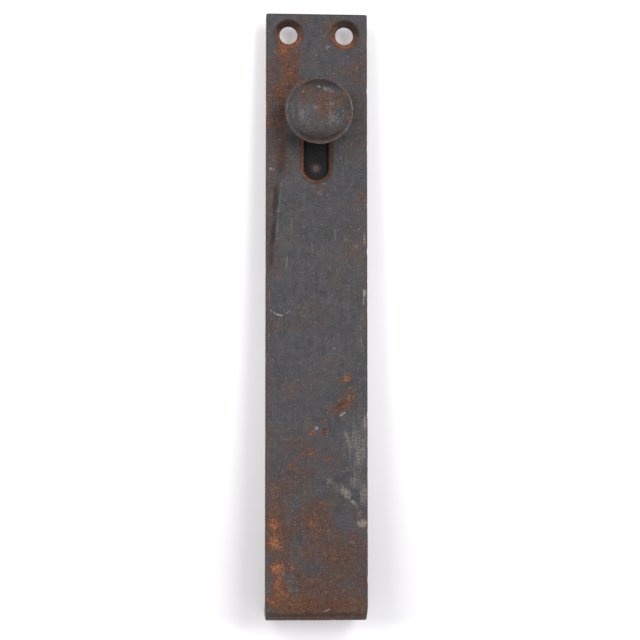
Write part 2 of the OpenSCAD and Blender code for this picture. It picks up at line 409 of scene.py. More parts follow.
def sheet_edge(loop):
    """The strip's rim: rounds over from the front face, runs down the side and rounds under.
    Each point moves out along the corner directions by the inset, which drops to nothing."""
    side = np.sign(loop[:, 0]) * (np.abs(loop[:, 0]) > half_w - edge_r - 1e-6)
    end = (loop[:, 1] > sheet_end - edge_r - 1e-6) * 1.0 - (loop[:, 1] < edge_r + 1e-6) * 1.0
    turns = np.linspace(0, math.pi / 2, 6)
    steps = [(edge_r * math.sin(a), edge_r * (1 - math.cos(a))) for a in turns]
    walls = [(edge_r, d) for d in np.linspace(edge_r, strap_t - edge_r, 5)[1:-1]]
    steps = steps + walls + [(out, strap_t - depth) for out, depth in steps[::-1]]
    corner = np.where((side != 0) & (end != 0), corner_reach, 1.0)
    return np.stack([
        np.c_[loop[:, 0] + side * out * corner, loop[:, 1] + end * out * corner,
              np.full(len(loop), depth)]
        for out, depth in steps
    ])


xs = np.linspace(edge_r - half_w, half_w - edge_r, 63)
ss = np.concatenate([
    np.linspace(edge_r, leg, 372),
    np.linspace(leg, foot_start, 15)[1:],
    np.linspace(foot_start, sheet_end - edge_r, 40)[1:],
])


def block(x_low, x_high, s_low, s_high):
    """Grid lines nearest to a rectangle's sides."""
    sides = ((xs, x_low), (xs, x_high), (ss, s_low), (ss, s_high))
    return tuple(int(np.argmin(np.abs(lines - value))) for lines, value in sides)


# Each hole takes out a block of the grid a little larger than its mouth.
holes = []
for side in (-1, 1):
    for middle_s in (along_of(screw_z), foot_start + end_screw_y - bend_r):
        centre = (side * screw_x, middle_s)
        reach = block(centre[0] - 4.9, centre[0] + 4.9, middle_s - 4.7, middle_s + 4.7)
        holes.append((reach, bevelled(centre, centre, screw_r, sink_r)))
slot_top, slot_bottom = (0, along_of(slot_high_z)), (0, along_of(slot_low_z))
slot_reach = block(-5.6, 5.6, slot_top[1] - 5.6, slot_bottom[1] + 5.6)
holes.append((slot_reach, bevelled(slot_top, slot_bottom, slot_r, slot_r + slot_bevel)))
holes.append((block(-6.0, 6.0, leg - 1.0, foot_start + bar_high.y + 0.8), bar_hole_rings()))

kept = np.ones((len(ss) - 1, len(xs) - 1), bool)
patches = []
for number, ((a, b, c, d), rings) in enumerate(holes):
    kept[c:d, a:b] = False
    tube = punch(block_walk(xs, ss, (a, b, c, d)), rings, 40 + number)
    patches.append((tube, lattice_faces(len(tube), tube.shape[1], True)))
grid_s, grid_x = np.meshgrid(ss, xs, indexing="ij")
for depth in (0.0, strap_t):
    face = np.stack([grid_x, grid_s, np.full_like(grid_x, depth)], axis=-1)
    patches.append((face, lattice_faces(len(ss), len(xs), False, kept)))
rim = sheet_edge(block_walk(xs, ss, (0, len(xs) - 1, 0, len(ss) - 1)))
patches.append((rim, lattice_faces(len(rim), rim.shape[1], True)))
sheet, strap_quads = weld(patches)

# Hollows and ripples of the rolled face, deepest at the front and gone at the slot's walls.
flat = sheet * (1, 1, 0)
front_share = 1 - sheet[:, 2] / strap_t
hollow = 0.05 * rough_noise(flat, 9.0, 3) + 0.035 * rough_noise(flat, 2.2, 5)
nibble = 0.09 * smoothstep(0.55, 0.85, rough_noise(sheet, 1.7, 9))
to_side = np.minimum(half_w - np.abs(sheet[:, 0]), np.minimum(sheet[:, 1], sheet_end - sheet[:, 1]))
on_rim = smoothstep(edge_r, 0.0, to_side)
worn = sheet.copy()
worn[:, 2] += np.where(sheet[:, 2] < strap_t / 2, hollow, -0.6 * hollow) * (1 - on_rim)
worn[:, 0] -= np.sign(sheet[:, 0]) * nibble * on_rim

# Bending drew the outer fibres in, and the foot tapers. Only the outermost strip moves.
outermost = np.sign(sheet[:, 0]) * smoothstep(11.0, 12.5, np.abs(sheet[:, 0]))
foot_share = np.clip((sheet[:, 1] - foot_start) / (sheet_end - foot_start), 0, 1)
pinch = 0.2 * smoothstep(leg - 0.6, leg + 0.5 * bend_length, sheet[:, 1]) * (1 - foot_share)
worn[:, 0] -= outermost * (foot_taper * foot_share + pinch * front_share)
strap_points = bend_sheet(worn)


# Where the strap has rusted. Each mark is a soft ellipse on the front face:
# middle across, middle up, half width, half height, strength and, where it has one, a turn
# in degrees. The lists after it place brown bloom, bare grey, worn spots, and dirt together
# with painted shade likewise.
rust_marks = [
    (-8.2, 140.2, 2.4, 1.8, 0.84), (-4.6, 138.0, 1.0, 3.6, 0.66), (-6.6, 135.0, 2.9, 4.6, 0.66),
    (-9.4, 129.4, 2.2, 3.4, 0.66), (-5.2, 131.6, 1.8, 2.4, 0.5), (-8.6, 122.6, 2.0, 3.0, 0.4),
    (-8.8, 113.4, 1.4, 2.6, 0.5), (11.4, 143.6, 0.7, 3.0, 0.36), (11.8, 131.0, 0.6, 5.0, 0.36),
    (-12.4, 125.0, 0.6, 4.0, 0.72), (-12.2, 121.5, 0.7, 1.5, 0.78), (-12.4, 114.0, 0.4, 5.0, 0.5),
    (-11.6, 102.8, 0.7, 1.6, 0.35), (6.0, 139.0, 0.7, 1.2, 0.42), (9.4, 136.8, 0.4, 0.5, 0.45),
    (10.6, 139.6, 0.7, 0.9, 0.36), (10.4, 126.0, 0.6, 2.4, 0.36), (11.2, 120.5, 0.8, 1.6, 0.36),
    (1.5, 104.7, 0.8, 0.6, 0.42), (-1.5, 70.3, 0.9, 1.0, 0.34), (-12.2, 91.0, 0.5, 2.6, 0.45),
    (9.9, 91.2, 1.2, 0.9, 0.14), (12.2, 91.5, 0.4, 3.0, 0.42), (11.6, 86.0, 0.6, 1.2, 0.3),
    (2.7, 61.8, 1.1, 1.1, 0.52), (7.6, 57.8, 1.8, 1.1, 0.95), (6.3, 56.9, 0.8, 0.7, 0.66),
    (8.6, 54.9, 0.6, 0.9, 0.5), (8.9, 53.6, 1.2, 1.3, 0.66), (6.8, 51.4, 3.0, 1.6, 0.78, 38),
    (5.0, 49.9, 1.8, 1.3, 0.72, 30), (10.7, 50.8, 0.9, 0.8, 0.48), (2.3, 50.6, 0.5, 0.7, 0.45),
    (1.3, 46.8, 1.0, 0.6, 0.8, 10), (1.9, 44.6, 1.1, 1.45, 0.78, -25), (-1.3, 46.4, 0.9, 0.5, 0.5),
    (-1.2, 43.8, 0.7, 1.0, 0.84, -30), (-1.5, 39.2, 1.2, 1.0, 0.84, -30), (0.3, 40.3, 0.8, 0.4, 0.42),
    (2.7, 37.7, 1.3, 0.8, 0.8), (4.6, 38.8, 0.4, 0.3, 0.5), (-6.2, 35.6, 1.3, 0.8, 0.7),
    (-1.4, 30.0, 0.8, 0.8, 0.5), (4.6, 30.8, 0.7, 1.2, 0.55, -20), (1.8, 26.4, 1.6, 0.7, 0.74),
    (4.2, 26.3, 1.3, 0.4, 0.45), (-0.6, 22.9, 1.2, 0.9, 0.72), (-0.9, 21.4, 1.8, 1.5, 0.78),
    (0.7, 19.9, 1.4, 1.1, 0.64), (-0.6, 18.4, 1.5, 0.8, 0.56), (-10.2, 29.4, 1.2, 2.2, 0.62),
    (-11.2, 25.6, 1.1, 2.4, 0.62), (-9.0, 24.4, 1.2, 0.9, 0.46), (-10.6, 21.4, 1.9, 2.8, 0.9),
    (-10.2, 17.0, 2.2, 2.6, 1.0), (-9.0, 16.6, 0.8, 3.4, 0.7), (-10.0, 10.4, 2.3, 2.1, 1.0),
    (-9.3, 8.2, 1.2, 1.6, 0.85), (-9.6, 6.2, 1.9, 2.1, 0.88), (-8.4, 4.0, 3.4, 2.0, 0.8),
    (-11.0, 2.6, 1.3, 1.2, 1.0), (-9.8, 1.4, 2.4, 1.2, 0.85), (-5.8, 10.8, 1.0, 1.3, 0.76),
    (-0.6, 8.0, 2.2, 1.0, 0.64), (5.2, 8.4, 1.6, 0.5, 0.4), (-4.4, 1.8, 8.5, 3.0, 0.68),
    (5.0, 1.2, 8.5, 2.2, 0.6), (4.0, 14.2, 0.8, 1.7, 0.56), (3.2, 19.2, 0.7, 0.9, 0.42),
    (1.8, 14.4, 0.8, 1.0, 0.38), (-12.5, 8.0, 0.4, 9.0, 0.6), (12.5, 21.0, 0.5, 1.0, 0.75),
    (-1.0, -1.6, 12.0, 0.7, 0.62), (2.3, 107.7, 0.6, 0.4, 0.8, 40), (-1.4, 90.6, 0.3, 1.2, 0.4, 10),
    (-4.4, 147.0, 0.7, 1.2, 0.45), (0.8, 121.0, 0.6, 0.6, 0.3),
]
brown_marks = [
    (-7.5, 134.0, 4.6, 9.0, 0.95), (-9.5, 120.0, 3.4, 13.0, 0.85), (-3.8, 146.5, 1.6, 3.0, 0.6),
    (10.4, 132.0, 3.0, 16.0, 0.46), (4.0, 146.0, 8.0, 4.0, 0.5), (2.0, 137.0, 9.0, 8.0, 0.24),
    (8.6, 96.0, 5.0, 7.0, 0.30, 10), (10.5, 104.0, 2.0, 4.0, 0.5), (-11.3, 96.0, 1.5, 14.0, 0.62),
    (0.4, 104.0, 2.0, 1.4, 0.5), (-10.6, 85.5, 3.4, 1.0, 0.2), (0.0, 71.0, 6.0, 2.4, 0.35),
    (-3.5, 53.0, 5.0, 6.0, 0.2), (6.0, 52.0, 4.4, 7.0, 0.5, -25), (-4.0, 40.0, 7.0, 5.0, 0.44),
    (-6.5, 32.0, 7.0, 7.0, 0.6), (4.0, 36.0, 6.0, 4.0, 0.4), (-9.0, 18.0, 4.6, 12.0, 0.95),
    (0.0, 22.0, 6.0, 6.5, 0.9), (6.5, 13.0, 8.0, 7.0, 1.0), (-1.4, 12.4, 5.0, 4.0, 0.85),
    (10.4, 7.6, 3.4, 4.0, 0.95), (0.0, 1.0, 14.0, 6.0, 1.3), (-3.0, 6.5, 9.0, 4.0, 1.05),
    (10.8, 23.5, 2.2, 4.0, 0.55), (-12.4, 60.0, 0.5, 62.0, 0.6), (12.5, 60.0, 0.4, 62.0, 0.4),
]
slate_marks = [
    (-12.0, 12.9, 1.1, 1.5, 0.9), (-12.1, 7.0, 0.9, 2.2, 0.8), (-6.4, 7.6, 1.4, 1.8, 0.8),
    (-6.3, 5.2, 0.9, 0.7, 0.7), (-2.0, 12.2, 3.4, 2.2, 0.26), (-5.0, 13.2, 1.4, 1.2, 0.7),
    (6.5, 24.6, 3.0, 2.6, 0.26, -20), (-7.8, 95.5, 1.9, 6.5, 0.5), (3.4, 45.0, 1.0, 3.4, 0.4, -20),
    (-4.8, 28.0, 1.6, 1.6, 0.4), (-7.4, 22.0, 1.0, 2.4, 0.35), (3.6, 32.0, 2.2, 1.6, 0.7, -20),
    (8.5, 42.0, 3.6, 6.0, 0.4), (-0.4, 139.0, 3.0, 7.0, 0.3),
]
pale_marks = [
    (7.7, 42.8, 0.7, 2.8, 0.54, 4), (7.5, 58.0, 1.3, 0.8, 0.36), (12.0, 46.3, 0.9, 2.6, 0.5),
    (10.4, 40.5, 2.8, 7.0, 0.42), (3.0, 32.2, 1.2, 0.9, 0.5, -30), (7.2, 29.4, 2.1, 1.1, 0.6, -35),
    (7.7, 28.1, 1.0, 0.5, 0.75, -20), (9.2, 26.6, 0.6, 1.4, 0.66, 40), (11.6, 28.8, 1.2, 3.2, 0.5),
    (9.9, 31.5, 1.8, 2.8, 0.42), (11.2, 21.6, 1.7, 1.0, 0.78), (10.8, 24.0, 0.9, 1.4, 0.46),
    (5.6, 30.8, 1.6, 1.2, 0.3, -30), (-0.1, 45.2, 0.4, 0.36, 1.0, 30), (12.2, 79.0, 0.45, 1.1, 0.75),
    (-11.3, 110.0, 0.8, 0.5, 0.6), (0.3, 104.0, 1.7, 0.7, 0.36), (2.6, 76.5, 0.8, 0.6, 0.32),
    (11.3, 66.5, 0.8, 2.4, 0.32), (-11.6, 68.2, 0.6, 0.3, 0.4), (12.2, 92.5, 0.35, 1.4, 0.5),
    (3.0, 141.3, 0.8, 0.5, 0.42), (-7.4, 111.2, 0.3, 0.4, 0.7), (-3.4, 112.6, 0.3, 0.4, 0.8),
    (-8.4, 9.3, 0.5, 0.9, 0.45), (-6.4, 5.2, 0.9, 0.6, 0.36), (9.6, 90.6, 1.0, 0.7, 0.36),
    (4.4, 64.2, 1.6, 0.7, 0.26),
]
# Dirt streaks and stains, and painted shade: the knob's shadow on the plate round it and under its head,
# and the shade of the bend along the bottom.
dirt_and_shadow_marks = [
    (-8.7, 112.2, 1.35, 5.4, 0.6), (-8.9, 123.6, 1.5, 4.4, 0.52), (-6.0, 117.6, 2.6, 1.8, 0.6, -45),
    (6.3, 117.8, 2.6, 1.8, 0.56, 45), (9.3, 125.6, 1.1, 6.0, 0.42), (-10.8, 123.5, 0.9, 3.0, 0.38),
    (-10.2, 102.0, 0.8, 5.4, 0.9, -5), (-10.9, 94.0, 0.8, 5.0, 0.95, -5), (-11.3, 87.6, 0.7, 3.4, 0.7),
    (0.0, -0.8, 14.5, 0.6, 0.8), (0.0, -1.8, 14.5, 1.0, 0.5), (1.0, 1.6, 13.0, 2.4, 0.4),
    (3.0, 10.0, 10.0, 7.0, 0.22), (6.8, 24.8, 3.0, 2.2, 0.35, -20), (0.0, 149.9, 14.0, 0.65, 0.75),
    (-12.7, 75.0, 0.3, 80.0, 0.5), (12.7, 75.0, 0.25, 80.0, 0.4), (1.0, 118.5, 7.0, 2.0, 0.25),
    (6.4, 51.1, 2.6, 1.1, 0.62, 38), (1.9, 44.6, 0.9, 1.2, 0.62, -25), (-4.6, 118.0, 1.4, 2.0, 0.35),
    (2.8, 53.6, 1.4, 1.4, 0.25), (-2.0, 12.0, 2.6, 1.6, 0.25), (10.4, 134.0, 1.6, 3.0, 0.2),
]


def soft_marks(across, height, marks, ragged, seed):
    """Strongest of a list of soft ellipses. Each falls off as exp(-q^3), q being the distance
    from its middle in half-sizes, after noise has shifted the points by half of ragged or less."""
    flat = np.stack([across, height, across * 0], axis=-1)
    x = across + ragged * (rough_noise(flat, 2.0, seed, 4) - 0.5)
    z = height + ragged * (rough_noise(flat, 2.0, seed + 7, 4) - 0.5)
    total = np.zeros_like(across)
    for mx, mz, half_x, half_z, strength, *turned in marks:
        turn = math.radians(sum(turned))
        c, s = math.cos(turn), math.sin(turn)
        u = ((x - mx) * c + (z - mz) * s) / half_x
        v = ((z - mz) * c - (x - mx) * s) / half_z
        total = np.maximum(total, strength * np.exp(-(u * u + v * v) ** 1.5))
    return total


def towards(angle, middle):
    """1 where an angle in degrees is the middle one, falling to 0 on the opposite side."""
    return np.cos(np.radians(angle - middle)) * 0.5 + 0.5


across, along = sheet[:, 0], sheet[:, 1]
height = strap_points[:, 2]
is_front = smoothstep(0.9, 0.2, sheet[:, 2]) * (along < foot_start)
is_side = smoothstep(0.3, 0.02, half_w - np.abs(across))
rust = is_front * soft_marks(across, height, rust_marks, 2.6, 20)
brown = is_front * soft_marks(across, height, brown_marks, 8.0, 21)
brown -= is_front * soft_marks(across, height, slate_marks, 3.5, 24)
pale = is_front * soft_marks(across, height, pale_marks, 1.4, 22)
dark = is_front * soft_marks(across, height, dirt_and_shadow_marks, 1.4, 23)
hidden = 1 - smoothstep(1.9, 0.6, sheet[:, 2]) * (along < foot_start - 1)
blotch = smoothstep(0.30, 0.72, rough_noise(sheet, 9.0, 31))
rust = np.maximum(rust, hidden * (0.12 + 0.66 * blotch))
brown = np.maximum(brown, hidden * (0.25 + 0.6 * smoothstep(0.3, 0.6, rough_noise(sheet, 13.0, 35))))
dark = np.maximum(dark, hidden * 0.6 * smoothstep(0.55, 0.75, rough_noise(sheet, 8.0, 36)))
dark = np.maximum(dark, hidden * 0.45 * smoothstep(bar_high.x + 1.6, bar_high.x, np.abs(across)))
# Each countersink is rusted all round; more bright rust is painted where its bevel faces up into the
# light, low in the ring, and painted shade darkens it where it faces down, high in the ring.
for side, lit_angle, shade_angle in ((-1, -80.0, 100.0), (1, -100.0, 65.0)):
    u, v = across - side * screw_x, height - screw_z
    ring = smoothstep(4.0, 3.5, np.hypot(u, v))
    angle = np.degrees(np.arctan2(v, u))
    rust = np.maximum(rust, ring * (0.56 + 0.36 * smoothstep(0.45, 0.95, towards(angle, lit_angle))))
    dark = np.maximum(dark, ring * 0.85 * smoothstep(0.35, 0.95, towards(angle, shade_angle)))
    brown = np.maximum(brown, ring)
slot_mid = np.clip(height, slot_low_z, slot_high_z)
from_slot = np.hypot(across, height - slot_mid) - slot_r
slot_ring = smoothstep(1.1, 0.75, from_slot)
slot_left = 0.55 + 0.35 * smoothstep(2.0, -2.0, across)
rust = np.maximum(rust, slot_ring * slot_left * smoothstep(0.0, 0.3, from_slot))
# Painted shade on the slot's walls, darkest at and inside its inner edge.
dark = np.maximum(dark, slot_ring * 0.9 * smoothstep(0.12, -0.05, from_slot))
brown = np.maximum(brown, slot_ring)
rust = np.maximum(rust, is_side * (0.35 + 0.5 * (across < 0)) * 0.75)
brown = np.maximum(brown, is_side * 0.9)
pale = np.maximum(pale, 0.5 * on_rim * (across > 0) * (rough_noise(sheet, 1.2, 33) > 0.62))

plate = new_piece("strap_plate", strap_points, strap_quads, "strap", "strap_iron", "face_plate")
paint(plate, rust=rust, brown=brown, pale=pale, dark=dark)


def blend_colour(tree, share, under, over, mode="MIX"):
    """Mixes two colours, each a socket or a triple, by a share that is a socket or a number."""
    made = tree.nodes.new("ShaderNodeMix")
    made.data_type, made.blend_type = "RGBA", mode
    made.clamp_factor = True
    for socket, value in ((made.inputs[0], share), (made.inputs[6], under), (made.inputs[7], over)):
        if isinstance(value, bpy.types.NodeSocket):
            tree.links.new(value, socket)
        elif isinstance(value, tuple):
            socket.default_value = (*value, 1)
        else:
            socket.default_value = value
    return made.outputs[2]


def step_between(tree, value, low, high):
    """Rises smoothly from 0 at low to 1 at high."""
    return add_node(tree, "MapRange", interpolation_type="SMOOTHSTEP", Value=value, From_Min=low,
                    From_Max=high).outputs[0]


def ramp(tree, value, *stops):
    """A colour ramp through (place, colour) stops."""
    made = tree.nodes.new("ShaderNodeValToRGB")
    tree.links.new(value, made.inputs[0])
    colours = made.color_ramp
    while len(colours.elements) < len(stops):
        colours.elements.new(0.5)
    for element, (place, colour) in zip(colours.elements, stops):
        element.position, element.color = place, (*colour, 1)
    return made.outputs[0]


def noise(tree, place, scale, detail=3.0, rough=0.55, twist=0.0):
    """Fractal noise whose main features are 1/scale millimetres across."""
    return add_node(tree, "TexNoise", Vector=place, Scale=scale, Detail=detail,
                    Roughness=rough, Distortion=twist).outputs["Fac"]


def stir(tree, value, strength, base, middle=0.5):
    """Adds to a base what a noise has above its middle, times a strength."""
    return maths(tree, "MULTIPLY_ADD", maths(tree, "SUBTRACT", value, middle), strength, base)


def aged_iron_group():
    """Old iron as one shared effect. Over a mottled slate skin it lays brown bloom, granular
    rust, pale worn spots and painted highlights, and dark dirt and painted shade, each where its mask and
    the noise together are high.
    Its height raises the rust in crusts and sinks pits into the skin."""
    tree = bpy.data.node_groups.new("aged_iron", "ShaderNodeTree")
    face = tree.interface
    for name in ("Rust", "Brown", "Pale", "Dark"):
        face.new_socket(name, in_out="INPUT", socket_type="NodeSocketFloat")
    for name in ("Skin", "Wear And Highlight", "Grime And Shade"):
        face.new_socket(name, in_out="INPUT", socket_type="NodeSocketColor")
    face.new_socket("Color", in_out="OUTPUT", socket_type="NodeSocketColor")
    for name in ("Roughness", "Metallic", "Height"):
        face.new_socket(name, in_out="OUTPUT", socket_type="NodeSocketFloat")
    given = tree.nodes.new("NodeGroupInput")
    result = tree.nodes.new("NodeGroupOutput")
    own = tree.nodes.new("ShaderNodeTexCoord").outputs["Object"]
    in_mm = add_node(tree, "Mapping", Vector=own, Scale=(1000.0, 1000.0, 1000.0)).outputs[0]
    upright = add_node(tree, "Mapping", Vector=own, Scale=(3600.0, 1000.0, 260.0)).outputs[0]
    level = add_node(tree, "Mapping", Vector=own, Scale=(420.0, 1000.0, 3800.0)).outputs[0]

    grain = noise(tree, in_mm, 2.6, 3.0, 0.65)
    fleck = noise(tree, in_mm, 1.9, 2.0, 0.6, 0.3)
    mottle = noise(tree, in_mm, 0.62, 5.0, 0.64, 0.5)
    cloud = noise(tree, in_mm, 0.14, 4.0, 0.62)
    hue = noise(tree, in_mm, 0.21, 4.0, 0.6)
    crust = noise(tree, in_mm, 1.5, 4.0, 0.72, 0.3)
    brushed = noise(tree, upright, 0.55, 3.0, 0.6)
    scuffed = noise(tree, level, 0.5, 3.0, 0.6)

    tone = maths(tree, "MULTIPLY_ADD", mottle, 0.55, maths(tree, "MULTIPLY", brushed, 0.16))
    tone = maths(tree, "MULTIPLY_ADD", cloud, 0.29, tone)
    tone = stir(tree, grain, 0.16, tone)
    shade = ramp(tree, tone, (0.37, (0.66, 0.65, 0.65)), (0.47, (0.92, 0.92, 0.93)),
                 (0.55, (1.10, 1.10, 1.10)), (0.66, (1.50, 1.46, 1.43)))
    colour = blend_colour(tree, 1.0, given.outputs["Skin"], shade, "MULTIPLY")
    cast = ramp(tree, hue, (0.34, (0.95, 0.98, 1.06)), (0.46, (0.98, 0.99, 1.01)),
                (0.55, (1.02, 1.00, 0.98)), (0.66, (1.12, 0.99, 0.90)))
    colour = blend_colour(tree, 1.0, colour, cast, "MULTIPLY")

    sum_brown = stir(tree, cloud, 1.7, given.outputs["Brown"], 0.53)
    sum_brown = stir(tree, mottle, 1.3, sum_brown)
    sum_brown = stir(tree, brushed, 0.6, sum_brown)
    is_brown = maths(tree, "MULTIPLY", step_between(tree, sum_brown, 0.0, 1.05), 0.88)
    brown_tone = ramp(tree, maths(tree, "MULTIPLY_ADD", grain, 0.5, maths(tree, "MULTIPLY", crust, 0.5)),
                      (0.36, (0.036, 0.015, 0.010)), (0.50, (0.070, 0.031, 0.021)),
                      (0.64, (0.132, 0.066, 0.042)))
    colour = blend_colour(tree, is_brown, colour, brown_tone)

    sum_rust = stir(tree, crust, 1.3, given.outputs["Rust"])
    sum_rust = stir(tree, mottle, 0.8, sum_rust)
    is_rust = maths(tree, "MULTIPLY", step_between(tree, sum_rust, 0.26, 0.86), 0.94)
    warmth = maths(tree, "MULTIPLY_ADD", given.outputs["Rust"], 0.30,
                   maths(tree, "MULTIPLY_ADD", grain, 1.0, -0.14))
    rust_tone = ramp(tree, warmth, (0.42, (0.048, 0.018, 0.010)), (0.54, (0.100, 0.037, 0.017)),
                     (0.65, (0.180, 0.064, 0.026)), (0.80, (0.38, 0.158, 0.072)))
    colour = blend_colour(tree, is_rust, colour, rust_tone)
    fringe = maths(tree, "MULTIPLY", step_between(tree, sum_rust, 0.20, 0.42),
                   step_between(tree, sum_rust, 0.66, 0.44))
    colour = blend_colour(tree, maths(tree, "MULTIPLY", fringe, 0.20), colour, (0.17, 0.100, 0.058))

    sum_pale = stir(tree, grain, 1.3, given.outputs["Pale"])
    sum_pale = stir(tree, brushed, 0.9, sum_pale)
    is_pale = maths(tree, "MULTIPLY", step_between(tree, sum_pale, 0.12, 1.10), 0.88)
    colour = blend_colour(tree, is_pale, colour, given.outputs["Wear And Highlight"])
    colour = blend_colour(tree, maths(tree, "MULTIPLY", step_between(tree, fleck, 0.38, 0.28), 0.45),
                          colour, (0.020, 0.017, 0.016))
    specks = maths(tree, "MULTIPLY", step_between(tree, fleck, 0.62, 0.72), 0.50)
    hairs = maths(tree, "MULTIPLY", step_between(tree, scuffed, 0.64, 0.76), 0.30)
    light = maths(tree, "MAXIMUM", specks, hairs)
    colour = blend_colour(tree, light, colour, (0.19, 0.155, 0.135))

    sum_dark = stir(tree, mottle, 0.9, given.outputs["Dark"])
    is_dark = maths(tree, "MULTIPLY", step_between(tree, sum_dark, 0.1, 1.0), 0.9)
    colour = blend_colour(tree, is_dark, colour, given.outputs["Grime And Shade"])

    oxide = maths(tree, "MAXIMUM", is_rust, maths(tree, "MULTIPLY", is_brown, 0.75))
    metal = maths(tree, "MULTIPLY", maths(tree, "SUBTRACT", 1.0, oxide, clamp=True), 0.35)
    gloss = maths(tree, "MULTIPLY_ADD", oxide, 0.24, 0.55)
    gloss = stir(tree, mottle, 0.3, gloss)
    pits = step_between(tree, grain, 0.30, 0.48)
    rise = maths(tree, "MULTIPLY_ADD", pits, 0.35, maths(tree, "MULTIPLY", mottle, 0.5))
    rise = maths(tree, "MULTIPLY_ADD", maths(tree, "MULTIPLY", is_rust, crust), 0.9, rise)
    for name, value in (("Color", colour), ("Roughness", gloss), ("Metallic", metal), ("Height", rise)):
        tree.links.new(value, result.inputs[name])
    return tree


aged_iron = aged_iron_group()


def scratch_group():
    """A straight scratch across the front face only: full strength where the distance to the
    line from one end to the other is small, fading out at its half width."""
    tree = bpy.data.node_groups.new("scratch_line", "ShaderNodeTree")
    face = tree.interface
    for name, kind in (("From", "Vector"), ("To", "Vector"), ("Half Width", "Float")):
        face.new_socket(name, in_out="INPUT", socket_type="NodeSocket" + kind)
    face.new_socket("Mask", in_out="OUTPUT", socket_type="NodeSocketFloat")
    given = tree.nodes.new("NodeGroupInput")
    result = tree.nodes.new("NodeGroupOutput")
    own = tree.nodes.new("ShaderNodeTexCoord").outputs["Object"]
    place = add_node(tree, "Mapping", Vector=own, Scale=(1000.0, 0.0, 1000.0)).outputs[0]

    def vectors(operation, first, second):
        made = tree.nodes.new("ShaderNodeVectorMath")
        made.operation = operation
        tree.links.new(first, made.inputs[0])
        if operation == "SCALE":
            tree.links.new(second, made.inputs["Scale"])
        elif second is not None:
            tree.links.new(second, made.inputs[1])
        return made.outputs["Value" if operation in ("DOT_PRODUCT", "LENGTH") else "Vector"]

    whole = vectors("SUBTRACT", given.outputs["To"], given.outputs["From"])
    reach = vectors("SUBTRACT", place, given.outputs["From"])
    share = maths(tree, "DIVIDE", vectors("DOT_PRODUCT", reach, whole),
                  vectors("DOT_PRODUCT", whole, whole), clamp=True)
    off = vectors("LENGTH", vectors("SUBTRACT", reach, vectors("SCALE", whole, share)), None)
    fade = add_node(tree, "MapRange", interpolation_type="SMOOTHSTEP", Value=off,
                    From_Min=given.outputs["Half Width"], From_Max=0.0)
    depth = add_node(tree, "SeparateXYZ", Vector=own).outputs["Y"]
    outer = maths(tree, "LESS_THAN", depth, -0.8 * strap_t * MM)
    tree.links.new(maths(tree, "MULTIPLY", fade.outputs[0], outer), result.inputs["Mask"])
    return tree


def old_iron(name, skin, relief, base_rust=0.0, base_brown=0.0, worn=(0.27, 0.235, 0.205),
             grime_and_shade=(0.019, 0.012, 0.010), shine=0.28, scratches=()):
    """A piece's own iron: the shared effect over its painted masks, with its own skin colour,
    its colour for wear and painted highlights, its colour for dirt and painted shade, its own depth of
    relief in millimetres and its own scratches."""
    made = bpy.data.materials.new(name)
    made.use_nodes = True
    tree = made.node_tree
    shader = tree.nodes["Principled BSDF"]
    effect = tree.nodes.new("ShaderNodeGroup")
    effect.node_tree = aged_iron
    effect.inputs["Skin"].default_value = (*skin, 1)
    effect.inputs["Wear And Highlight"].default_value = (*worn, 1)
    effect.inputs["Grime And Shade"].default_value = (*grime_and_shade, 1)
    masks = {}
    for socket, extra in (("Rust", base_rust), ("Brown", base_brown), ("Pale", 0), ("Dark", 0)):
        mask = add_node(tree, "Attribute", attribute_name=socket.lower()).outputs["Fac"]
        masks[socket] = maths(tree, "ADD", mask, extra)
    for from_x, from_z, to_x, to_z, half_width, strength in scratches:
        scratch = tree.nodes.new("ShaderNodeGroup")
        scratch.node_tree = scratch_line
        scratch.inputs["From"].default_value = (from_x, 0, from_z)
        scratch.inputs["To"].default_value = (to_x, 0, to_z)
        scratch.inputs["Half Width"].default_value = half_width
        mark = maths(tree, "MULTIPLY", scratch.outputs[0], strength)
        masks["Pale"] = maths(tree, "ADD", masks["Pale"], mark)
    for socket, value in masks.items():
        tree.links.new(value, effect.inputs[socket])
    bump = add_node(tree, "Bump", Height=effect.outputs["Height"], Distance=relief * MM, Strength=1.0)
    for socket, value in (("Base Color", effect.outputs["Color"]), ("Normal", bump.outputs[0]),
                          ("Roughness", effect.outputs["Roughness"]),
                          ("Metallic", effect.outputs["Metallic"])):
        tree.links.new(value, shader.inputs[socket])
    shader.inputs["Specular IOR Level"].default_value = shine
    return made


scratch_line = scratch_group()
plate_scratches = [
    # from across, from up, to across, to up, half width, strength
    (1.9, 0.0, 3.2, 0.5, 0.22, 1.9), (-6.2, 97.4, -7.0, 89.4, 0.6, 0.34),
    (-7.4, 88.0, -7.6, 85.2, 0.34, 0.4), (-11.6, 74.6, -9.9, 73.5, 0.3, 0.7),
    (-9.9, 73.5, -8.7, 73.2, 0.34, 1.0), (-8.7, 73.3, -6.8, 74.3, 0.24, 0.6),
    (-8.9, 106.4, -9.6, 99.6, 0.75, 0.42), (-9.6, 99.6, -10.2, 92.4, 0.6, 0.26),
    (4.6, 94.8, 4.7, 92.4, 0.18, 0.5), (7.9, 17.0, 9.5, 16.8, 0.22, 0.55),
    (6.0, 48.4, 7.0, 49.1, 0.5, 0.8), (-8.2, 102.4, -6.6, 100.9, 0.2, 0.45),
    (-11.9, 79.5, -11.7, 76.5, 0.22, 0.6), (-3.9, 64.2, -4.1, 61.0, 0.2, 0.3),
    (11.8, 79.6, 11.7, 76.2, 0.26, 0.6), (-1.3, 91.4, -0.8, 88.9, 0.2, 0.4),
    (-0.8, 44.4, 0.2, 45.6, 0.26, 0.5), (8.3, 53.4, 8.0, 51.8, 0.2, 0.4),
    (3.2, 86.0, 3.4, 84.4, 0.2, 0.5),
]
